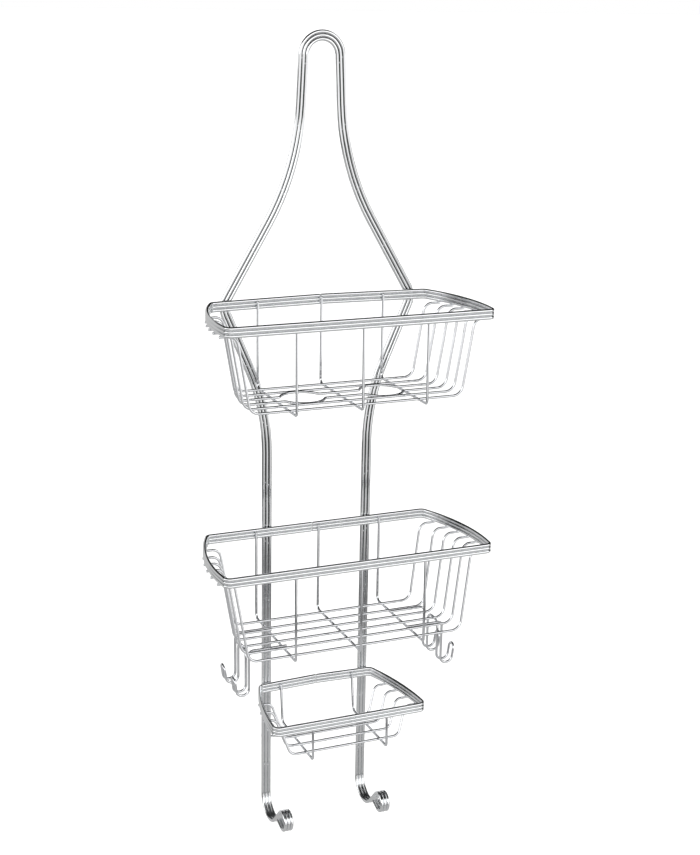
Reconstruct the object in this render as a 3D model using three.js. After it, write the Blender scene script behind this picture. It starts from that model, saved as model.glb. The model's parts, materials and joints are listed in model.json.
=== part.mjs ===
// Hanging shower caddy: two wire baskets and a soap dish on a frame of three wires laid side by side,
// all bent from round wire, welded where they touch, and chromed.
//
// Millimetres, +X right, +Y towards the wall, +Z up. The origin is the inside top of the hanging loop,
// where the shower arm carries the caddy. The frame's wires lie in the plane Y = 0 and the baskets
// stand out in front of it, towards -Y.
//
// Every piece is one bent wire. A wire's route is a list of stations, and each station is a point on
// its centre line with the direction of travel there. Wires that are welded together keep WELD_GAP.
import * as THREE from "three";

// ---------------------------------------------------------------------------- wire stock and welds

const THICK = 3.0; // diameter of the frame's and the rims' wire
const THIN = 2.2; // diameter of the basket wires
const WELD_GAP = 0.3; // clearance between two wires that touch

const THICK_ON_THICK = THICK + WELD_GAP;
const THIN_ON_THICK = (THICK + THIN) / 2 + WELD_GAP;
const THIN_ON_THIN = THIN + WELD_GAP;

// ---------------------------------------------------------------------------- driving dimensions

const FRAME = {
  loopInside: 13.1, // radius of the space inside the hanging loop
  neckSplay: 2.6, // degrees by which the legs spread, just under the loop
  flareZ: -112.6, // where the neck's line meets the shoulder's line
  flareBend: 230,
  kneeX: 95, // the widest point, before it is rounded
  kneeZ: -236.4,
  kneeBend: 18,
  uprightX: 51.6, // middle wire of each upright
  waistDrop: 100.8, // from the knee down to where its line meets the upright's line
  waistBend: 210,
};

// Levels down the frame, each from the one above it, and how far the back corners stand outside it.
const TOP_RIM_ABOVE_KNEE = 4.1;
const MIDDLE_BELOW_TOP = 223.8;
const DISH_BELOW_MIDDLE = 164.3;
const BRACE_BELOW_DISH = 57.9;
const HOOKS_BELOW_DISH = 118.6;
const TOP_PAST_KNEE = 12.5;
const DISH_PAST_UPRIGHT = 7.9;

const CLOTH_HOOK = {
  throatBend: 20,
  throatTurn: 137, // degrees, from straight down to the neck's climb
  neck: 23,
  curlBend: 9,
  curlTurn: 246,
  tipClearance: 1.4, // between the curl's end and the neck
};

// rimZ is the upper rim wire's centre. backHalf is the half width at the back corners, flare is how much
// further out the front corners stand, and depth is from the back run to the front run. Margins are
// from those runs to the first and last long wires. Insets are inwards from the rim's side.
const TOP_BASKET = {
  name: "top_basket",
  rimZ: FRAME.kneeZ + TOP_RIM_ABOVE_KNEE,
  backHalf: FRAME.kneeX + TOP_PAST_KNEE,
  flare: 19.5,
  depth: 106.6,
  sideBow: 171, // radius of the bowed sides
  cornerBend: 5.5,
  seamX: 0,
  backRise: 1.4, // how far the back run climbs towards its seam
  floorDrop: 82.4, // from the upper rim wire down to the cross wires' floor
  crossHalf: 63, // outer cross wires' X
  crossCount: 3,
  backLean: 0, // how far the cross wires' back legs come forward on the way down
  frontLean: 1.5,
  longCount: 6,
  backMargin: 17.1,
  frontMargin: 11.3,
  endPitch: 16.3, // from the first long wire to the second, and from the last to the one before
  longLean: 1.5, // how far forward a long wire's floor lies of its ends
  wallTopInset: 14,
  wallFloorInset: 26,
  wallTopBend: 9,
  wallFloorBend: 10,
};

const MIDDLE_BASKET = {
  name: "middle_basket",
  rimZ: TOP_BASKET.rimZ - MIDDLE_BELOW_TOP,
  backHalf: 113,
  flare: 18,
  depth: 112.9,
  sideBow: 195,
  cornerBend: 5.5,
  seamX: -6,
  backRise: 0,
  floorDrop: 89,
  crossHalf: 64.3,
  crossCount: 3,
  backLean: 0,
  frontLean: 1.5,
  longCount: 6,
  backMargin: 18.7,
  frontMargin: 9.9,
  endPitch: 18.15,
  longLean: 6,
  wallTopInset: 14,
  wallFloorInset: 26,
  wallTopBend: 9,
  wallFloorBend: 10,
};

const SOAP_DISH = {
  name: "soap_dish",
  rimZ: MIDDLE_BASKET.rimZ - DISH_BELOW_MIDDLE,
  backHalf: FRAME.uprightX + DISH_PAST_UPRIGHT,
  flare: 17.6,
  depth: 92.4,
  sideBow: 266,
  cornerBend: 5.5,
  seamX: 0,
  backRise: 1.6,
  floorDrop: 39.2,
  crossHalf: 38.2,
  crossCount: 2,
  backLean: 5,
  frontLean: 1.5,
  longCount: 4,
  backMargin: 27.5,
  frontMargin: 13.4,
  endPitch: 17.15,
  longLean: 6.3,
  wallTopInset: 11,
  wallFloorInset: 20,
  wallTopBend: 8,
  wallFloorBend: 8,
};

const RIM_WIRES = 3; // wires stacked in each rim
const RIM_NAMES = ["upper", "middle", "lower"];
const RIM_SEAM = 0.8; // gap between a rim wire's two ends
const SIDE_CHORDS = 6; // straight pieces that make up one bowed side
const LONG_OVERHANG = 1.9; // how far a long wire's end stands out past the rim's side
const CROSS_BACK_BEND = 5;
const CROSS_FRONT_BEND = 3;
const CROSS_TIP_DROP = 1; // cross wires end this far under the upper rim wire's centre

const BOTTLE_HOLE = {
  x: 39, // centres, left and right
  blend: 4, // bend where a floor wire leaves its straight line
};

const RAZOR_HOOK = {
  rimInset: 28, // from the side of the middle basket's rim in to the legs
  overlap: 2.5, // how far the floor legs reach past the outer cross wire
  shoulderBend: 4,
  runBend: 8, // where the wire turns from one hook towards the other
  bottomDrop: 43.7, // from the basket's long wires down to the bottom of the J
  bottomBend: 6.2,
  lipDrop: 26.4, // from the long wires down to the top of the lip
  lipLean: 8.5, // degrees outwards
  pairGap: 9, // between the two legs of one hook
  backClearance: 1.2, // between the back leg and the second long wire, beyond a weld's gap
  frontClearance: 2.2, // between the front leg and the fifth long wire, likewise
};

const BRACE = {
  z: SOAP_DISH.rimZ - BRACE_BELOW_DISH,
  pastUpright: 3, // how far its ends reach past the middle wires of the uprights
  gap: 5.2, // between its two runs
  seam: 0.8,
};

// ---------------------------------------------------------------------------- routes

const ARC_STEP = 24; // most degrees that one facet of a bend turns
const ARC_SAG = 0.3; // most that a facet's middle may stand off the true bend

const radians = THREE.MathUtils.degToRad;
const point = (x, y, z) => new THREE.Vector3(x, y, z);
const station = (at, along) => ({ at, along });

// The stations of an arc that starts at a point and heading, and turns about an axis. A negative turn
// bends the other way. The first station is left out, because the wire already has it.
function arc(start, heading, axis, radius, degrees) {
  const towards = axis.clone().cross(heading).multiplyScalar(Math.sign(degrees));
  const centre = start.clone().addScaledVector(towards, radius);
  const spoke = start.clone().sub(centre);
  const flattest = 2 * THREE.MathUtils.radToDeg(Math.acos(1 - ARC_SAG / radius));
  const steps = Math.ceil(Math.abs(degrees) / Math.min(ARC_STEP, flattest));
  return Array.from({ length: steps }, (_, i) => {
    const turn = radians((degrees * (i + 1)) / steps);
    const at = spoke.clone().applyAxisAngle(axis, turn).add(centre);
    return station(at, heading.clone().applyAxisAngle(axis, turn));
  });
}

// A wire through corner points, each rounded to its bend radius. A corner with no radius is one facet
// of a curve that is already fine enough, and keeps its point.
function rounded(corners) {
  const last = corners.length - 1;
  const direction = (i) => corners[i + 1].at.clone().sub(corners[i].at).normalize();
  const route = [station(corners[0].at, direction(0))];
  for (let i = 1; i < last; i++) {
    const { at, bend } = corners[i];
    const before = direction(i - 1);
    const after = direction(i);
    if (!bend) {
      route.push(station(at, before.clone().add(after).normalize()));
      continue;
    }
    const turn = before.angleTo(after);
    const start = at.clone().addScaledVector(before, -bend * Math.tan(turn / 2));
    const axis = before.clone().cross(after).normalize();
    if (start.distanceTo(route.at(-1).at) > WELD_GAP / 10) route.push(station(start, before));
    route.push(...arc(start, before, axis, bend, THREE.MathUtils.radToDeg(turn)));
  }
  const end = corners[last].at;
  if (end.distanceTo(route.at(-1).at) > WELD_GAP / 10) route.push(station(end, direction(last - 1)));
  return route;
}

const corner = (x, y, z, bend = 0) => ({ at: point(x, y, z), bend });

// The same route seen in a mirror at X = 0 and travelled the other way.
function mirrored(route) {
  const flip = point(-1, 1, 1);
  return route
    .map(({ at, along }) => station(at.clone().multiply(flip), along.clone().multiply(flip).negate()))
    .reverse();
}

// A route that is symmetric about X = 0, from its right half, which starts on that plane.
const bothSides = (half) => [...mirrored(half).slice(0, -1), ...half];

// ---------------------------------------------------------------------------- solids

// A curve that goes straight from station to station, so that a straight stretch is one step.
class WirePath extends THREE.Curve {
  constructor(route) {
    super();
    this.route = route;
  }

  getPoint(t, target = new THREE.Vector3()) {
    const place = t * (this.route.length - 1);
    const i = Math.min(Math.floor(place), this.route.length - 2);
    return target.lerpVectors(this.route[i].at, this.route[i + 1].at, place - i);
  }

  getPointAt(t, target) {
    return this.getPoint(t, target);
  }

  getTangentAt(t, target = new THREE.Vector3()) {
    return target.copy(this.route[Math.round(t * (this.route.length - 1))].along);
  }
}

// A round section as a regular polygon.
function section(diameter, sides) {
  const ring = Array.from({ length: sides }, (_, i) => {
    const angle = (2 * Math.PI * i) / sides;
    return new THREE.Vector2(Math.cos(angle), Math.sin(angle)).multiplyScalar(diameter / 2);
  });
  return new THREE.Shape(ring);
}

const thickSection = section(THICK, 8);
const thinSection = section(THIN, 6);

const chrome = (color, roughness) =>
  new THREE.MeshStandardMaterial({ color, roughness, metalness: 1 });

function wire(name, route, shape, material) {
  const geometry = new THREE.ExtrudeGeometry(shape, {
    steps: route.length - 1,
    extrudePath: new WirePath(route),
    bevelEnabled: false,
  });
  const mesh = new THREE.Mesh(geometry, material);
  mesh.name = name;
  return mesh;
}

const thickWire = (name, route) => wire(name, route, thickSection, chrome(0xdfe1e3, 0.1));
const thinWire = (name, route) => wire(name, route, thinSection, chrome(0xd2d5d8, 0.14));

// ---------------------------------------------------------------------------- frame

const uprightEndZ = SOAP_DISH.rimZ - HOOKS_BELOW_DISH;

// The bottom of an upright: a throat that sweeps forward and up, a short neck, and a curled-over end
// that comes back until it almost meets the neck.
function clothHook(x) {
  const { throatBend, throatTurn, neck, curlBend, curlTurn, tipClearance } = CLOTH_HOOK;
  const across = point(-1, 0, 0);
  const lean = radians(curlTurn - 180);
  const standOff = curlBend * (1 + Math.cos(lean));
  const tipReach = (THICK / 2) * (1 + Math.cos(lean)) + tipClearance;
  const tail = (standOff - tipReach) / Math.sin(lean);
  const top = station(point(x, 0, uprightEndZ), point(0, 0, -1));
  const throat = arc(top.at, top.along, across, throatBend, throatTurn);
  const onward = ({ at, along }, run) => station(at.clone().addScaledVector(along, run), along);
  const neckEnd = onward(throat.at(-1), neck);
  const curl = arc(neckEnd.at, neckEnd.along, across, curlBend, -curlTurn);
  return [...throat, neckEnd, ...curl, onward(curl.at(-1), tail)];
}

// One frame wire, parallel to the middle one: over the loop, down both necks, out to the knees, in to
// the uprights and down to the hooks.
function frameRoute(offset) {
  const middleBend = FRAME.loopInside + THICK / 2 + THICK_ON_THICK;
  const topZ = THICK / 2 + THICK_ON_THICK;
  const loopReach = middleBend * Math.tan(radians(90 - FRAME.neckSplay) / 2);
  const flareX = loopReach + (topZ - FRAME.flareZ) * Math.tan(radians(FRAME.neckSplay));
  const middle = rounded([
    corner(0, 0, topZ),
    corner(loopReach, 0, topZ, middleBend),
    corner(flareX, 0, FRAME.flareZ, FRAME.flareBend),
    corner(FRAME.kneeX, 0, FRAME.kneeZ, FRAME.kneeBend),
    corner(FRAME.uprightX, 0, FRAME.kneeZ - FRAME.waistDrop, FRAME.waistBend),
    corner(FRAME.uprightX, 0, uprightEndZ),
  ]);
  const outwards = ({ x, z }) => point(-z, 0, x);
  const half = middle.map(({ at, along }) =>
    station(at.clone().addScaledVector(outwards(along), offset), along),
  );
  return bothSides([...half, ...clothHook(FRAME.uprightX + offset)]);
}

function frame() {
  return [
    thickWire("frame_wire_outer", frameRoute(THICK_ON_THICK)),
    thickWire("frame_wire_middle", frameRoute(0)),
    thickWire("frame_wire_inner", frameRoute(-THICK_ON_THICK)),
  ];
}

// A closed oblong of thin wire across the backs of both uprights, which keeps the caddy off the wall.
function rearBrace() {
  const y = THIN_ON_THICK;
  const bend = BRACE.gap / 2;
  const half = FRAME.uprightX + BRACE.pastUpright;
  const low = BRACE.z - bend;
  const high = BRACE.z + bend;
  const route = rounded([
    corner(BRACE.seam / 2, y, low),
    corner(half, y, low, bend),
    corner(half, y, high, bend),
    corner(-half, y, high, bend),
    corner(-half, y, low, bend),
    corner(-BRACE.seam / 2, y, low),
  ]);
  return thinWire("rear_brace_loop", route);
}

// ---------------------------------------------------------------------------- baskets

// Lines that a basket's wires share.
function layout(basket) {
  const backY = -THICK_ON_THICK;
  const frontY = backY - basket.depth;
  const frontHalf = basket.backHalf + basket.flare;
  const lowRimZ = basket.rimZ - (RIM_WIRES - 1) * THICK_ON_THICK;
  const floorZ = basket.rimZ - basket.floorDrop;
  const endZ = lowRimZ - THIN_ON_THICK;
  return { backY, frontY, frontHalf, floorZ, endZ, longZ: floorZ + THIN_ON_THIN };
}

// Half width of the rim at a depth: the side is an arc through the back and the front corner.
function sideX(basket, y) {
  const { backY, frontY, frontHalf } = layout(basket);
  const back = new THREE.Vector2(basket.backHalf, backY);
  const chord = new THREE.Vector2(frontHalf, frontY).sub(back);
  const inwards = new THREE.Vector2(chord.y, -chord.x).normalize();
  const toCentre = Math.sqrt(basket.sideBow ** 2 - (chord.length() / 2) ** 2);
  const centre = back.addScaledVector(chord, 0.5).addScaledVector(inwards, toCentre);
  return centre.x + Math.sqrt(basket.sideBow ** 2 - (y - centre.y) ** 2);
}

// How far the rim's back run has climbed at a place along it.
const riseAt = (basket, x) => basket.backRise * (1 - Math.abs(x) / basket.backHalf);

function rimRoute(basket, z) {
  const { backY, frontY, frontHalf } = layout(basket);
  const { backHalf, cornerBend, seamX } = basket;
  const seamZ = z + riseAt(basket, seamX);
  const side = Array.from({ length: SIDE_CHORDS - 1 }, (_, i) => {
    const y = backY + ((i + 1) / SIDE_CHORDS) * (frontY - backY);
    return corner(sideX(basket, y), y, z);
  });
  const across = side.map(({ at }) => corner(-at.x, at.y, z)).reverse();
  return rounded([
    corner(seamX + RIM_SEAM / 2, backY, seamZ),
    corner(backHalf, backY, z, cornerBend),
    ...side,
    corner(frontHalf, frontY, z, cornerBend),
    corner(-frontHalf, frontY, z, cornerBend),
    ...across,
    corner(-backHalf, backY, z, cornerBend),
    corner(seamX - RIM_SEAM / 2, backY, seamZ),
  ]);
}

// A cross wire runs down inside the back of the rim, forward under the floor and up inside the front.
function crossRoute(basket, x) {
  const { backY, frontY, floorZ } = layout(basket);
  const back = backY - THIN_ON_THICK;
  const front = frontY + THIN_ON_THICK;
  const tipZ = basket.rimZ - CROSS_TIP_DROP;
  return rounded([
    corner(x, back, tipZ + riseAt(basket, x)),
    corner(x, back - basket.backLean, floorZ, CROSS_BACK_BEND),
    corner(x, front - basket.frontLean, floorZ, CROSS_FRONT_BEND),
    corner(x, front, tipZ),
  ]);
}

// Where each long wire crosses the floor, from the back one forward.
function longWireYs(basket) {
  const { backY, frontY } = layout(basket);
  const first = backY - basket.backMargin;
  const last = frontY + basket.frontMargin;
  const second = first - basket.endPitch;
  const pitch = (second - last - basket.endPitch) / (basket.longCount - 3);
  const between = Array.from({ length: basket.longCount - 2 }, (_, i) => second - i * pitch);
  return [first, ...between, last];
}

// The right half of a long wire past a point on the floor: along it, up the basket's end wall, and out
// under the lowest rim wire.
function wallCorners(basket, y) {
  const { endZ, longZ } = layout(basket);
  const endY = y + basket.longLean;
  const rimX = sideX(basket, endY);
  return [
    corner(rimX - basket.wallFloorInset, y, longZ, basket.wallFloorBend),
    corner(rimX - basket.wallTopInset, endY, endZ, basket.wallTopBend),
    corner(rimX + LONG_OVERHANG, endY, endZ),
  ];
}

function longRoute(basket, y) {
  const { longZ } = layout(basket);
  return bothSides(rounded([corner(0, y, longZ), ...wallCorners(basket, y)]));
}

// A long wire that bows round a bottle hole, until it lies against the wire next to it. The bow is an
// arc round the hole's centre, and a small bend blends it into the straight wire on each side.
function bowedRoute(basket, y, apexY, holeRadius) {
  const { longZ } = layout(basket);
  const { x, blend } = BOTTLE_HOLE;
  const side = Math.sign(apexY - y);
  const up = point(0, 0, side);
  const centreY = apexY - side * holeRadius;
  const rise = side * (centreY - y) - blend;
  const halfTurn = Math.acos(-rise / (holeRadius + blend));
  const reach = (holeRadius + blend) * Math.sin(halfTurn);
  const start = station(point(x - reach, y, longZ), point(1, 0, 0));
  const turn = THREE.MathUtils.radToDeg(halfTurn);
  const leave = arc(start.at, start.along, up, blend, turn);
  const bow = arc(leave.at(-1).at, leave.at(-1).along, up, holeRadius, -2 * turn);
  const join = arc(bow.at(-1).at, bow.at(-1).along, up, blend, turn);
  const rest = rounded([corner(x + reach, y, longZ), ...wallCorners(basket, y)]).slice(1);
  return bothSides([station(point(0, y, longZ), start.along), start, ...leave, ...bow, ...join, ...rest]);
}

// The two middle long wires of the top basket open out round the bottle holes.
function topBasketLongRoute(index) {
  const ys = longWireYs(TOP_BASKET);
  const apexes = { 2: ys[1] - THIN_ON_THIN, 3: ys[4] + THIN_ON_THIN };
  if (!(index in apexes)) return longRoute(TOP_BASKET, ys[index]);
  const holeRadius = (apexes[2] - apexes[3]) / 2;
  return bowedRoute(TOP_BASKET, ys[index], apexes[index], holeRadius);
}

function basketWires(basket, longRouteAt) {
  const { name, rimZ, crossHalf, crossCount, longCount } = basket;
  const rims = RIM_NAMES.map((level, i) =>
    thickWire(`${name}_rim_${level}`, rimRoute(basket, rimZ - i * THICK_ON_THICK)),
  );
  const crosses = Array.from({ length: crossCount }, (_, i) => {
    const x = crossHalf * ((2 * i) / (crossCount - 1) - 1);
    return thinWire(`${name}_cross_wire_${i + 1}`, crossRoute(basket, x));
  });
  const longs = Array.from({ length: longCount }, (_, i) =>
    thinWire(`${name}_long_wire_${i + 1}`, longRouteAt(i)),
  );
  return [...rims, ...crosses, ...longs];
}

const plainLongs = (basket) => (index) => longRoute(basket, longWireYs(basket)[index]);

// ---------------------------------------------------------------------------- razor hooks

// One wire makes both hooks at an end of the middle basket. It leaves the floor, drops into a J, turns
// back at the lip, climbs, crosses under the long wires, makes the second hook and returns.
function razorHookRoute(side) {
  const { overlap, shoulderBend, runBend, bottomBend, pairGap } = RAZOR_HOOK;
  const { longZ } = layout(MIDDLE_BASKET);
  const ys = longWireYs(MIDDLE_BASKET);
  const legX = sideX(MIDDLE_BASKET, ys[1]) - RAZOR_HOOK.rimInset;
  const lean = radians(RAZOR_HOOK.lipLean);
  const bottomZ = longZ - RAZOR_HOOK.bottomDrop;
  const lipZ = longZ - RAZOR_HOOK.lipDrop;
  const outerX = legX + bottomBend * (1 + Math.tan(Math.PI / 4 - lean / 2));
  const lipX = outerX + (lipZ - bottomZ) * Math.tan(lean);
  const lipBend = pairGap / 2;
  const firstY = ys[1] - THIN_ON_THIN - RAZOR_HOOK.backClearance;
  const lastY = ys[4] + THIN_ON_THIN + RAZOR_HOOK.frontClearance;
  const floorX = MIDDLE_BASKET.crossHalf - overlap;
  const at = (x, y, z, bend) => corner(side * x, y, z, bend);
  const hook = (y, nextY) => [
    at(legX, y, bottomZ, bottomBend),
    at(outerX, y, bottomZ, bottomBend),
    at(lipX, y, lipZ, lipBend),
    at(lipX, nextY, lipZ, lipBend),
    at(outerX, nextY, bottomZ, bottomBend),
    at(legX, nextY, bottomZ, bottomBend),
  ];
  return rounded([
    at(floorX, firstY, longZ),
    at(legX, firstY, longZ, shoulderBend),
    ...hook(firstY, firstY - pairGap),
    at(legX, firstY - pairGap, longZ - THIN_ON_THIN, runBend),
    at(legX, lastY + pairGap, longZ - THIN_ON_THIN, runBend),
    ...hook(lastY + pairGap, lastY),
    at(legX, lastY, longZ, shoulderBend),
    at(floorX, lastY, longZ),
  ]);
}

// ---------------------------------------------------------------------------- assembly

const caddy = new THREE.Group();
caddy.add(...frame(), rearBrace());
caddy.add(...basketWires(TOP_BASKET, topBasketLongRoute));
caddy.add(...basketWires(MIDDLE_BASKET, plainLongs(MIDDLE_BASKET)));
caddy.add(...basketWires(SOAP_DISH, plainLongs(SOAP_DISH)));
caddy.add(thinWire("middle_basket_razor_hooks_left", razorHookRoute(-1)));
caddy.add(thinWire("middle_basket_razor_hooks_right", razorHookRoute(1)));

export default caddy;
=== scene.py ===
# Hanging shower caddy in chromed round wire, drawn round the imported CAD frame.
#
# Every piece of the caddy is one bent wire. The CAD holds each wire as a coarse faceted tube, so this
# script reads each tube's centre line back from the frame, draws the same wire fine and round on it,
# and adds the welds where wires touch. Metres, +X right, +Y towards the wall, +Z up.
import json
import math

import bmesh
import bpy
import numpy as np
from mathutils import Matrix, Vector, kdtree


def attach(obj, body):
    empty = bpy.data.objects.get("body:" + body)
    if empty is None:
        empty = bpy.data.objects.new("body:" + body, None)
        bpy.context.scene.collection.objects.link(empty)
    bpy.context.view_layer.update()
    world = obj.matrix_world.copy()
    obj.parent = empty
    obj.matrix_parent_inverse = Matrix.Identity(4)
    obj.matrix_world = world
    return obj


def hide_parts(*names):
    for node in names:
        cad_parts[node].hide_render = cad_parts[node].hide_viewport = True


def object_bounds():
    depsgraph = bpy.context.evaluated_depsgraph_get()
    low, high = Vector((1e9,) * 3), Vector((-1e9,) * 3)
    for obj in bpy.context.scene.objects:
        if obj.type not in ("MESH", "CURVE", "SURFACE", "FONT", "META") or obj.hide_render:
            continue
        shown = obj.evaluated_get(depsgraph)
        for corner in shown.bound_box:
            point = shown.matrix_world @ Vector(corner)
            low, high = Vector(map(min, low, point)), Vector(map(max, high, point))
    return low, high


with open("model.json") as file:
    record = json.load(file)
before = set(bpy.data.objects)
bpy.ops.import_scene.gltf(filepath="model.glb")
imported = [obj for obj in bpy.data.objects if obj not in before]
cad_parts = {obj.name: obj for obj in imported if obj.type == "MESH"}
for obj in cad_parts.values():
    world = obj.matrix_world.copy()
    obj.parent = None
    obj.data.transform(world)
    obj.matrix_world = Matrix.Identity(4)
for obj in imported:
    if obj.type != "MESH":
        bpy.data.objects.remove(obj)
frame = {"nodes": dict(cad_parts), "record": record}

CAD_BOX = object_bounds()
MM = 0.001
BODY = "root"
RECORD = frame["record"]
SLOT_OF = {part["node"]: part["material_slot"] for part in RECORD["subparts"]}


# ---------------------------------------------------------------------------- wires from the frame

SAME_POINT = 0.002 * MM  # CAD corners closer than this are one corner
COPLANAR = math.radians(0.05)
ROUND_SECTION = 0.04  # an end section's corners lie this evenly round its middle
FEWEST_SIDES = 5  # a face with fewer corners is never a wire's end


class Wire:
    """A CAD wire: its radius, the stations along its centre line, and the smooth line through them."""

    def __init__(self, name):
        self.name = name
        sections = tube_sections(frame["nodes"][name])
        self.points = [section.mean(axis=0) for section in sections]
        self.radius = float(np.linalg.norm(sections[0] - self.points[0], axis=1).mean())
        ahead = self.points[1:] + self.points[-1:]
        behind = self.points[:1] + self.points[:-1]
        self.along = [section_direction(*three) for three in zip(sections, ahead, behind)]
        self.line, self.line_along = smooth_line(self)


def tube_sections(node):
    """The corner points of each section of a faceted tube, from one end of the wire to the other."""
    mesh = bmesh.new()
    mesh.from_mesh(node.data)
    bmesh.ops.remove_doubles(mesh, verts=mesh.verts, dist=SAME_POINT)
    bmesh.ops.dissolve_limit(mesh, angle_limit=COPLANAR, verts=[], edges=mesh.edges)
    layer = set(end_face(mesh).verts)
    seen = set(layer)
    sections = []
    while layer:
        sections.append(np.array([corner.co[:] for corner in layer], float))
        layer = {edge.other_vert(corner) for corner in layer for edge in corner.link_edges} - seen
        seen |= layer
    mesh.free()
    return sections


def end_face(mesh):
    """One of the two flat ends: the only kind of face whose many corners are all as far from its middle."""
    for face in mesh.faces:
        if len(face.verts) < FEWEST_SIDES:
            continue
        middle = face.calc_center_median()
        reach = [(corner.co - middle).length for corner in face.verts]
        if max(reach) - min(reach) < ROUND_SECTION * max(reach):
            return face
    raise RuntimeError("a CAD wire has no flat end")


def section_direction(section, ahead, behind):
    """The unit vector square to a section, pointing the way the wire runs."""
    _, _, axes = np.linalg.svd(section - section.mean(axis=0))
    return axes[2] * (1.0 if axes[2] @ (ahead - behind) > 0 else -1.0)


# ---------------------------------------------------------------------------- smooth centre lines

BEND_STEP = math.radians(6)  # most that a fine wire turns between two of its rings
STRAIGHT = math.radians(0.4)  # a turn smaller than this is drawn as a straight run


def smooth_line(wire):
    """Points and directions along a wire, with each bend drawn as the arc that its facets stand for."""
    points, along = [wire.points[0]], [wire.along[0]]
    for i in range(len(wire.points) - 1):
        start, end = wire.points[i], wire.points[i + 1]
        leave, arrive = wire.along[i], wire.along[i + 1]
        chord = end - start
        turn = math.acos(float(np.clip(leave @ arrive, -1, 1)))
        if turn < STRAIGHT:
            points.append(end)
            along.append(arrive)
            continue
        # The control reach of the cubic that follows a circular arc through this turn.
        reach = np.linalg.norm(chord) * 2 / 3 * math.tan(turn / 4) / math.sin(turn / 2)
        controls = np.array([start, start + reach * leave, end - reach * arrive, end])
        steps = max(2, math.ceil(turn / BEND_STEP))
        for step in range(1, steps + 1):
            t = step / steps
            points.append(bezier_weights(t) @ controls)
            slope = bezier_slopes(t) @ controls
            along.append(slope / np.linalg.norm(slope))
    return np.array(points), np.array(along)


def bezier_weights(t):
    """How much each of a cubic's four control points counts in its place at t."""
    s = 1 - t
    return np.array([s**3, 3 * s * s * t, 3 * s * t * t, t**3])


def bezier_slopes(t):
    """How much each of a cubic's four control points counts in its direction at t."""
    s = 1 - t
    return np.array([-3 * s * s, 3 * s * s - 6 * s * t, 6 * s * t - 3 * t * t, 3 * t * t])


# ---------------------------------------------------------------------------- round wire meshes

# How a sheared and plated end rounds over: distance in from the end and width, in radii.
END_ROUND = ((0.0, 0.45), (0.06, 0.70), (0.20, 0.88), (0.42, 0.97), (0.70, 1.0))
THICK_FROM = 1.3 * MM  # a radius over this is frame or rim wire
END_REACH = 0.22 * MM  # each end goes on this far past the CAD's, so a rim's seam nearly closes
DRAWN_OUT = 0.13 * MM  # plating and the pressed welds take up nearly all of the CAD's weld gap
THICK_SIDES = 20
THIN_SIDES = 16
FULL_TURN = 2 * math.pi


def wire_mesh(name, points, along, radius, sides):
    """A closed round tube on a centre line, with rounded-over ends."""
    points = points.copy()
    points[0] = points[0] - along[0] * END_REACH
    points[-1] = points[-1] + along[-1] * END_REACH
    points, along, widths = with_round_ends(points, along, radius)
    side = square_to(along[0])
    rings = []
    for i, (point, direction) in enumerate(zip(points, along)):
        side = side - direction * (side @ direction)
        side /= np.linalg.norm(side)
        across = np.cross(direction, side)
        angles = np.arange(sides) * FULL_TURN / sides
        rings.append(point + widths[i] * (np.outer(np.cos(angles), side) + np.outer(np.sin(angles), across)))
    return tube_mesh(name, rings)


def with_round_ends(points, along, radius):
    """Replaces each plain end by the stations that round it over."""
    head = [(points[0] + along[0] * inwards * radius, width * radius) for inwards, width in END_ROUND]
    tail = [(points[-1] - along[-1] * inwards * radius, width * radius) for inwards, width in END_ROUND]
    body = points[1:-1]
    all_points = [point for point, _ in head] + list(body) + [point for point, _ in reversed(tail)]
    all_along = [along[0]] * len(head) + list(along[1:-1]) + [along[-1]] * len(tail)
    widths = [width for _, width in head] + [radius] * len(body) + [width for _, width in reversed(tail)]
    return np.array(all_points), np.array(all_along), widths


def square_to(direction):
    """A unit vector at a right angle to a direction."""
    helper = np.eye(3)[np.argmin(np.abs(direction))]
    side = np.cross(direction, helper)
    return side / np.linalg.norm(side)


def tube_mesh(name, rings):
    """A smooth closed mesh through rings of equal count, with a fan at each end."""
    sides = len(rings[0])
    vertices = [tuple(corner) for ring in rings for corner in ring]
    faces = []
    for i in range(len(rings) - 1):
        for k in range(sides):
            low, high = i * sides, (i + 1) * sides
            faces.append((low + k, low + (k + 1) % sides, high + (k + 1) % sides, high + k))
    first, last = 0, (len(rings) - 1) * sides
    faces.append(tuple(first + k for k in reversed(range(sides))))
    faces.append(tuple(last + k for k in range(sides)))
    mesh = bpy.data.meshes.new(name)
    mesh.from_pydata(vertices, [], faces)
    mesh.polygons.foreach_set("use_smooth", [True] * len(mesh.polygons))
    mesh.update()
    return mesh


def add_piece(name, mesh, material):
    """Links a mesh as a piece of the caddy, with its material."""
    mesh.materials.append(material)
    piece = bpy.data.objects.new(name, mesh)
    bpy.context.scene.collection.objects.link(piece)
    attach(piece, BODY)
    return piece


# ---------------------------------------------------------------------------- welds

SAMPLE = 0.5 * MM  # spacing of the points that are tested for contact
WELD_REACH = 0.6 * MM  # wires whose surfaces are this close in the CAD are welded
CROSSING = 9 * MM  # a contact longer than this is two wires side by side
SIDE_WELDS = 60 * MM  # spacing of the tacks between wires that run side by side
WELD_SIDES = 14
WELD_RINGS = 9
WELD_WAIST = 0.62  # width of a weld between the wires, in the thinner wire's radius
WELD_FOOT = 1.02  # its width where it sinks into them
WELD_START = 0.35  # how far from a wire's centre line a weld starts, in that wire's radius


def sampled(points):
    """Points every SAMPLE along a polyline."""
    lengths = np.concatenate([[0], np.cumsum(np.linalg.norm(np.diff(points, axis=0), axis=1))])
    at = np.arange(0, lengths[-1], SAMPLE)
    return np.stack([np.interp(at, lengths, points[:, k]) for k in range(3)], axis=1)


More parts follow.
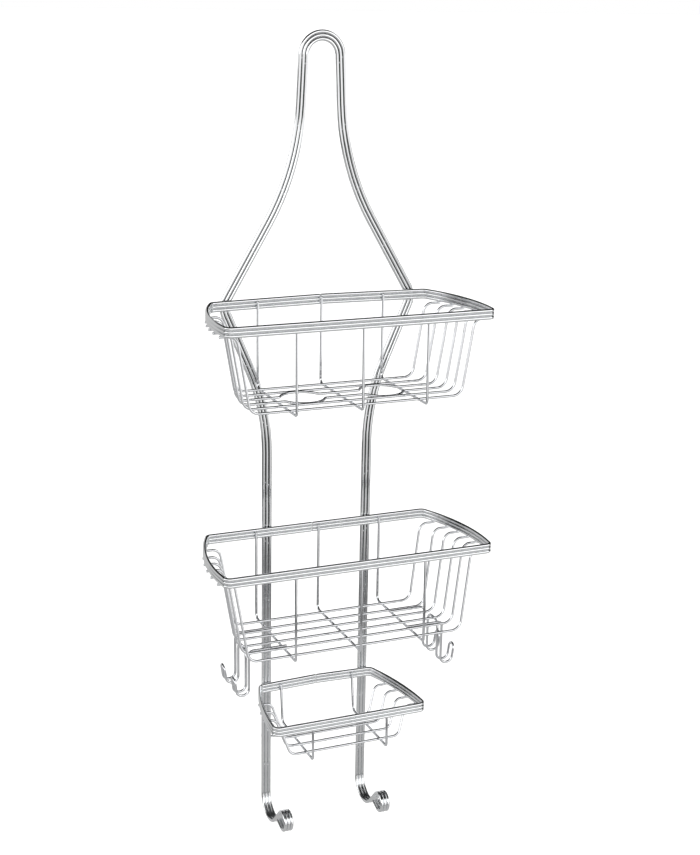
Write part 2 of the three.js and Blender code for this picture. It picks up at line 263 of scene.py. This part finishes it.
def contacts(wires):
    """Each place where two wires touch: both wires, and the two closest points of their centre lines."""
    found = []
    samples = {wire.name: sampled(wire.line) for wire in wires}
    for j, other in enumerate(wires):
        tree = kdtree.KDTree(len(samples[other.name]))
        for k, place in enumerate(samples[other.name]):
            tree.insert(place, k)
        tree.balance()
        for wire in wires[:j]:
            reach = wire.radius + other.radius + WELD_REACH
            if boxes_apart(samples[wire.name], samples[other.name], reach):
                continue
            run = []
            for place in samples[wire.name]:
                near, _, distance = tree.find(place)
                if distance < reach:
                    run.append((distance, place, np.array(near)))
                elif run:
                    found += weld_places(wire, other, run)
                    run = []
            if run:
                found += weld_places(wire, other, run)
    return found


def boxes_apart(one, other, reach):
    """True when two sets of points can't come within a distance."""
    beyond = one.min(axis=0) > other.max(axis=0) + reach
    short = other.min(axis=0) > one.max(axis=0) + reach
    return bool(np.any(beyond) or np.any(short))


def weld_places(wire, other, run):
    """One weld at the closest point of a crossing, or a row of tacks along a shared run."""
    if len(run) * SAMPLE < CROSSING:
        _, here, there = min(run, key=lambda pair: pair[0])
        return [(wire, other, here, there)]
    tacks = max(2, round(len(run) * SAMPLE / SIDE_WELDS))
    picks = [run[round((i + 0.5) / tacks * (len(run) - 1))] for i in range(tacks)]
    return [(wire, other, here, there) for _, here, there in picks]


def weld_rings(wire, other, here, there):
    """The rings of a small saddle of weld metal between two wires."""
    axis = (there - here) / np.linalg.norm(there - here)
    side = square_to(axis)
    across = np.cross(axis, side)
    thin = min(wire.radius, other.radius)
    start = here + axis * wire.radius * WELD_START
    end = there - axis * other.radius * WELD_START
    angles = np.arange(WELD_SIDES) * FULL_TURN / WELD_SIDES
    circle = np.outer(np.cos(angles), side) + np.outer(np.sin(angles), across)
    rings = []
    for i in range(WELD_RINGS):
        t = i / (WELD_RINGS - 1)
        width = thin * (WELD_WAIST + (WELD_FOOT - WELD_WAIST) * (2 * t - 1) ** 2)
        rings.append(start + (end - start) * t + circle * width)
    return rings


# ---------------------------------------------------------------------------- materials

CLOUD_RANGE = (0.3, 0.7)  # the cloud values that stand for the smoothest and the dullest plating
CLOUD_DETAIL = 4.0
CLOUD_SHADE = 0.93  # brightness of the tint in the clouds' dark parts
GRAIN_DETAIL = 3.0
GRAIN_STRENGTH = 0.05
GRAIN_DEPTH = 0.02 * MM
# Painted shade: the frame's plating is darkened in the seams between wires, where shade falls.
CREVICE_REACH = 1.3 * MM  # how near another wire has to be for the painted shade to darken the plating
# the colour of the painted shade in the seams
PAINTED_SHADE_TINT = 0.05
CREVICE_OPEN = (0.84, 0.62)  # openness at which the painted shade in a seam starts, and at which it is darkest
CREVICE_LEVELS = (-0.53, -0.45)  # the painted seam shade fades out between these heights, about the middle basket
CREVICE_SAMPLES = 8


def nodes_of(material):
    """A material's empty node tree, and the function that adds a node to it."""
    material.use_nodes = True
    tree = material.node_tree
    tree.nodes.clear()
    return tree, tree.nodes.new


def soft_step(new, edge):
    """A node that gives 0 before an edge, 1 past it, and a smooth rise across it."""
    node = new("ShaderNodeMapRange")
    node.interpolation_type = "SMOOTHSTEP"
    node.inputs["From Min"].default_value, node.inputs["From Max"].default_value = edge
    return node


def painted_crevice_shade(tree, colour, place):
    """The colour with painted shade: dark in the seams between wires laid side by side, except low down on
    the frame.
    """
    new, link = tree.nodes.new, tree.links.new
    # Ambient occlusion stands in for the shade between the wires.
    open_air = new("ShaderNodeAmbientOcclusion")
    open_air.inputs["Distance"].default_value = CREVICE_REACH
    open_air.samples = CREVICE_SAMPLES
    seam = soft_step(new, CREVICE_OPEN)
    link(open_air.outputs["AO"], seam.inputs["Value"])
    height = new("ShaderNodeSeparateXYZ")
    link(place, height.inputs["Vector"])
    upper = soft_step(new, CREVICE_LEVELS)
    link(height.outputs["Z"], upper.inputs["Value"])
    strength = new("ShaderNodeMath")
    strength.operation = "MULTIPLY"
    link(seam.outputs["Result"], strength.inputs[0])
    link(upper.outputs["Result"], strength.inputs[1])
    mix = new("ShaderNodeMix")
    mix.data_type = "RGBA"
    mix.inputs["B"].default_value = (PAINTED_SHADE_TINT, PAINTED_SHADE_TINT, PAINTED_SHADE_TINT, 1)
    link(colour, mix.inputs["A"])
    link(strength.outputs["Value"], mix.inputs["Factor"])
    return mix.outputs["Result"]


def chrome(name, tint, smooth, dull, cloud_scale, grain, painted_seam_shade=False):
    """Bright chrome plate: a mirror whose gloss drifts slowly and whose surface ripples very slightly. It
    can also carry painted shade in the seams between wires.
    """
    material = bpy.data.materials.new(name)
    tree, new = nodes_of(material)
    link = tree.links.new
    output = new("ShaderNodeOutputMaterial")
    shader = new("ShaderNodeBsdfPrincipled")
    shader.inputs["Metallic"].default_value = 1.0
    place = new("ShaderNodeTexCoord")
    clouds = new("ShaderNodeTexNoise")
    clouds.inputs["Scale"].default_value = cloud_scale
    clouds.inputs["Detail"].default_value = CLOUD_DETAIL
    link(place.outputs["Object"], clouds.inputs["Vector"])
    gloss = new("ShaderNodeMapRange")
    gloss.inputs["From Min"].default_value, gloss.inputs["From Max"].default_value = CLOUD_RANGE
    gloss.inputs["To Min"].default_value = smooth
    gloss.inputs["To Max"].default_value = dull
    link(clouds.outputs["Fac"], gloss.inputs["Value"])
    link(gloss.outputs["Result"], shader.inputs["Roughness"])
    shade = new("ShaderNodeMix")
    shade.data_type = "RGBA"
    shade.inputs["A"].default_value = (*tint, 1)
    shade.inputs["B"].default_value = (*(channel * CLOUD_SHADE for channel in tint), 1)
    link(clouds.outputs["Fac"], shade.inputs["Factor"])
    colour = shade.outputs["Result"]
    # Painted shade: the base colour goes dark where other wires are near, as if shade fell in the seams.
    if painted_seam_shade:
        colour = painted_crevice_shade(tree, colour, place.outputs["Object"])
    link(colour, shader.inputs["Base Color"])
    ripple = new("ShaderNodeTexNoise")
    ripple.inputs["Scale"].default_value = grain
    ripple.inputs["Detail"].default_value = GRAIN_DETAIL
    link(place.outputs["Object"], ripple.inputs["Vector"])
    bump = new("ShaderNodeBump")
    bump.inputs["Strength"].default_value = GRAIN_STRENGTH
    bump.inputs["Distance"].default_value = GRAIN_DEPTH
    link(ripple.outputs["Fac"], bump.inputs["Height"])
    link(bump.outputs["Normal"], shader.inputs["Normal"])
    link(shader.outputs["BSDF"], output.inputs["Surface"])
    return material


THICK_PLATE = {"tint": (0.91, 0.92, 0.93), "smooth": 0.03, "dull": 0.08, "cloud_scale": 60, "grain": 900}
THIN_PLATE = {"tint": (0.88, 0.89, 0.91), "smooth": 0.04, "dull": 0.10, "cloud_scale": 80, "grain": 1200}
WELD_PLATE = {"tint": (0.74, 0.75, 0.77), "smooth": 0.16, "dull": 0.30, "cloud_scale": 300, "grain": 2500}
MATERIALS = {
    # The frame's plating carries painted shade in the seams between its wires.
    "frame_chrome": chrome("frame_chrome", **THICK_PLATE, painted_seam_shade=True),
    "rim_chrome": chrome("rim_chrome", **THICK_PLATE),
    "basket_chrome": chrome("basket_chrome", **THIN_PLATE),
}
WELD_MATERIAL = chrome("weld_chrome", **WELD_PLATE)


# ---------------------------------------------------------------------------- building the caddy

GROUPS = ("frame", "top_basket", "middle_basket", "soap_dish", "rear_brace")


def rank_of(wire):
    """The place in GROUPS of the group that a wire belongs to."""
    return next(i for i, group in enumerate(GROUPS) if wire.name.startswith(group))


def build_wires():
    """Draws each CAD wire as its own round piece, and returns the wires."""
    wires = []
    for name in sorted(frame["nodes"]):
        wire = Wire(name)
        sides = THICK_SIDES if wire.radius > THICK_FROM else THIN_SIDES
        mesh = wire_mesh(name + "_round", wire.line, wire.line_along, wire.radius + DRAWN_OUT, sides)
        slot = SLOT_OF[name]
        piece = add_piece(name + "_round", mesh, MATERIALS[slot])
        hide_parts(name)
        wires.append(wire)
    return wires


def build_welds(wires):
    """One piece of weld beads for each group of wires; a weld between two groups goes with the first."""
    beads = {}
    for wire, other, here, there in contacts(wires):
        group = GROUPS[min(rank_of(wire), rank_of(other))]
        beads.setdefault(group, []).append(weld_rings(wire, other, here, there))
    for group, bead_rings in beads.items():
        joined = bmesh.new()
        for rings in bead_rings:
            mesh = tube_mesh("bead", rings)
            joined.from_mesh(mesh)
            bpy.data.meshes.remove(mesh)
        mesh = bpy.data.meshes.new(group + "_welds")
        joined.to_mesh(mesh)
        joined.free()
        add_piece(group + "_welds", mesh, WELD_MATERIAL)


# ---------------------------------------------------------------------------- camera and studio

CAMERA_AZIMUTH = math.radians(-23.077)
CAMERA_ELEVATION = math.radians(16.079)
CAMERA_ROLL = math.radians(1.044)
CAMERA_DISTANCE = 1.4839
CAMERA_TARGET = Vector((0.0339, 0.0, -0.3636))
CAMERA_LENS = 64.49
CAMERA_SENSOR = 36


def add_camera():
    """The photo's camera, which looks at its target along an azimuth, an elevation and a slight roll."""
    back = Vector((
        math.sin(CAMERA_AZIMUTH) * math.cos(CAMERA_ELEVATION),
        -math.cos(CAMERA_AZIMUTH) * math.cos(CAMERA_ELEVATION),
        math.sin(CAMERA_ELEVATION),
    ))
    right = (-back).cross(Vector((0, 0, 1))).normalized()
    up = back.cross(right)
    level = Matrix((right, up, back)).transposed()
    rolled = level @ Matrix.Rotation(CAMERA_ROLL, 3, "Z")
    data = bpy.data.cameras.new("camera")
    data.lens = CAMERA_LENS
    data.sensor_width = CAMERA_SENSOR
    camera = bpy.data.objects.new("camera", data)
    camera.matrix_world = Matrix.Translation(CAMERA_TARGET + back * CAMERA_DISTANCE) @ rolled.to_4x4()
    bpy.context.scene.collection.objects.link(camera)
    bpy.context.scene.camera = camera


FLOOR_DROP = 0.25  # the caddy hangs this far above the floor
FLOOR_HALF = 60.0
FLOOR_WHITE = 0.95


def add_floor():
    """A plain pale floor. The chrome mirrors the studio's own light there instead of it."""
    level = CAD_BOX[0][2] - FLOOR_DROP
    mesh = bpy.data.meshes.new("floor")
    corners = [(x * FLOOR_HALF, y * FLOOR_HALF, level) for x, y in ((-1, -1), (1, -1), (1, 1), (-1, 1))]
    mesh.from_pydata(corners, [], [(0, 1, 2, 3)])
    material = bpy.data.materials.new("floor_white")
    tree, new = nodes_of(material)
    shader = new("ShaderNodeBsdfDiffuse")
    shader.inputs["Color"].default_value = (FLOOR_WHITE, FLOOR_WHITE, FLOOR_WHITE, 1)
    output = new("ShaderNodeOutputMaterial")
    tree.links.new(shader.outputs["BSDF"], output.inputs["Surface"])
    mesh.materials.append(material)
    floor = bpy.data.objects.new("floor", mesh)
    bpy.context.scene.collection.objects.link(floor)
    floor.visible_glossy = False


# The studio that the chrome mirrors, in the photographer's own directions: ahead is where the camera
# looks, right is its right. Each part of it has a brightness.
AHEAD = Vector((-math.sin(CAMERA_AZIMUTH), math.cos(CAMERA_AZIMUTH), 0))
RIGHT = Vector((math.cos(CAMERA_AZIMUTH), math.sin(CAMERA_AZIMUTH), 0))
SOFTBOX = 1.6  # the light bank above the horizon on the camera's side
BACKDROP = 1.0  # the white sweep along the horizon
ROOM = 0.02  # the unlit room overhead and beyond the caddy
TABLE_EDGE = 0.16  # the shaded edge of the sweep, just under the horizon
TABLE_SIDE = 0.75  # the top of that edge where the light from the right falls on it
GROUND = 0.47  # the grey ground below it
CARD = 0.06  # a black card on the left of the camera
DUSK = 0.10  # the dark band low down beyond the caddy
WINDOW = 0.55  # the pale window beyond the caddy, to the left

# Soft edges between those parts, each from where it starts to where it is complete. UP edges are sines
# of elevation, and AHEAD and RIGHT edges are the same measure along those directions.
UP_GROUND = (-0.40, -0.36)
UP_TABLE_SIDE = (-0.35, -0.33)
UP_BACKDROP = (-0.27, -0.23)
UP_SOFTBOX = (0.02, 0.10)
UP_ROOM_BEYOND = (-0.02, 0.06)
UP_ROOM = (0.53, 0.65)
RIGHT_TABLE_SIDE = (0.05, 0.25)
AHEAD_BEYOND = (-0.10, 0.20)
CARD_EDGES = {"side": (-0.15, -0.35), "back": (-0.20, -0.32), "foot": (-0.27, -0.23), "head": (0.06, 0.02)}
DUSK_EDGES = {"foot": (-0.40, -0.36), "head": (-0.16, -0.24)}
WINDOW_EDGES = {
    "left": (-1.0, -0.9),
    "side": (-0.10, -0.24),
    "front": (0.30, 0.45),
    "foot": (-0.42, -0.38),
    "head": (0.40, 0.30),
}


def add_world():
    """A white studio. Camera rays see plain white; the chrome sees the lights, the card and the room."""
    world = bpy.data.worlds.new("studio")
    bpy.context.scene.world = world
    world.use_nodes = True
    tree = world.node_tree
    tree.nodes.clear()
    new, link = tree.nodes.new, tree.links.new
    direction = new("ShaderNodeTexCoord").outputs["Generated"]

    def along(axis):
        dot = new("ShaderNodeVectorMath")
        dot.operation = "DOT_PRODUCT"
        dot.inputs[1].default_value = axis
        link(direction, dot.inputs[0])
        return dot.outputs["Value"]

    def past(value, edge):
        node = soft_step(new, edge)
        link(value, node.inputs["Value"])
        return node.outputs["Result"]

    def overlap(first, *others):
        """The mask where every one of the masks is 1."""
        for other in others:
            product = new("ShaderNodeMath")
            product.operation = "MULTIPLY"
            link(first, product.inputs[0])
            link(other, product.inputs[1])
            first = product.outputs["Value"]
        return first

    def over(base, level, mask):
        """The base value with a level painted over it where the mask is 1."""
        mix = new("ShaderNodeMix")
        mix.inputs["B"].default_value = level
        if isinstance(base, float):
            mix.inputs["A"].default_value = base
        else:
            link(base, mix.inputs["A"])
        link(mask, mix.inputs["Factor"])
        return mix.outputs["Result"]

    ahead, right, up = along(AHEAD), along(RIGHT), along(Vector((0, 0, 1)))
    beyond = past(ahead, AHEAD_BEYOND)
    light = over(GROUND, TABLE_EDGE, past(up, UP_GROUND))
    light = over(light, TABLE_SIDE, overlap(past(right, RIGHT_TABLE_SIDE), past(up, UP_TABLE_SIDE)))
    light = over(light, BACKDROP, past(up, UP_BACKDROP))
    light = over(light, SOFTBOX, past(up, UP_SOFTBOX))
    card = overlap(
        past(right, CARD_EDGES["side"]),
        past(ahead, CARD_EDGES["back"]),
        past(up, CARD_EDGES["foot"]),
        past(up, CARD_EDGES["head"]),
    )
    light = over(light, CARD, card)
    light = over(light, ROOM, overlap(past(up, UP_ROOM_BEYOND), beyond))
    dusk = overlap(past(up, DUSK_EDGES["foot"]), past(up, DUSK_EDGES["head"]), beyond)
    light = over(light, DUSK, dusk)
    window = overlap(
        past(right, WINDOW_EDGES["left"]),
        past(right, WINDOW_EDGES["side"]),
        past(ahead, WINDOW_EDGES["front"]),
        past(up, WINDOW_EDGES["foot"]),
        past(up, WINDOW_EDGES["head"]),
    )
    light = over(light, WINDOW, window)
    light = over(light, ROOM, past(up, UP_ROOM))

    studio = new("ShaderNodeBackground")
    link(light, studio.inputs["Color"])
    seen = new("ShaderNodeBackground")
    seen.inputs["Color"].default_value = (1, 1, 1, 1)
    rays = new("ShaderNodeLightPath")
    mix = new("ShaderNodeMixShader")
    link(rays.outputs["Is Camera Ray"], mix.inputs["Fac"])
    link(studio.outputs["Background"], mix.inputs[1])
    link(seen.outputs["Background"], mix.inputs[2])
    output = new("ShaderNodeOutputWorld")
    link(mix.outputs["Shader"], output.inputs["Surface"])


TOP_LIGHT = 3.4
TOP_SPREAD = math.radians(60)
TOP_TILT = (math.radians(12), math.radians(-8), 0)


def add_light():
    """One broad soft light from above that whitens the floor."""
    data = bpy.data.lights.new("soft_top", "SUN")
    data.energy = TOP_LIGHT
    data.angle = TOP_SPREAD
    light = bpy.data.objects.new("soft_top", data)
    light.rotation_euler = TOP_TILT
    light.visible_glossy = False
    bpy.context.scene.collection.objects.link(light)


add_camera()
caddy_wires = build_wires()
build_welds(caddy_wires)
add_floor()
add_world()
add_light()
bpy.context.scene.view_settings.view_transform = "Standard"
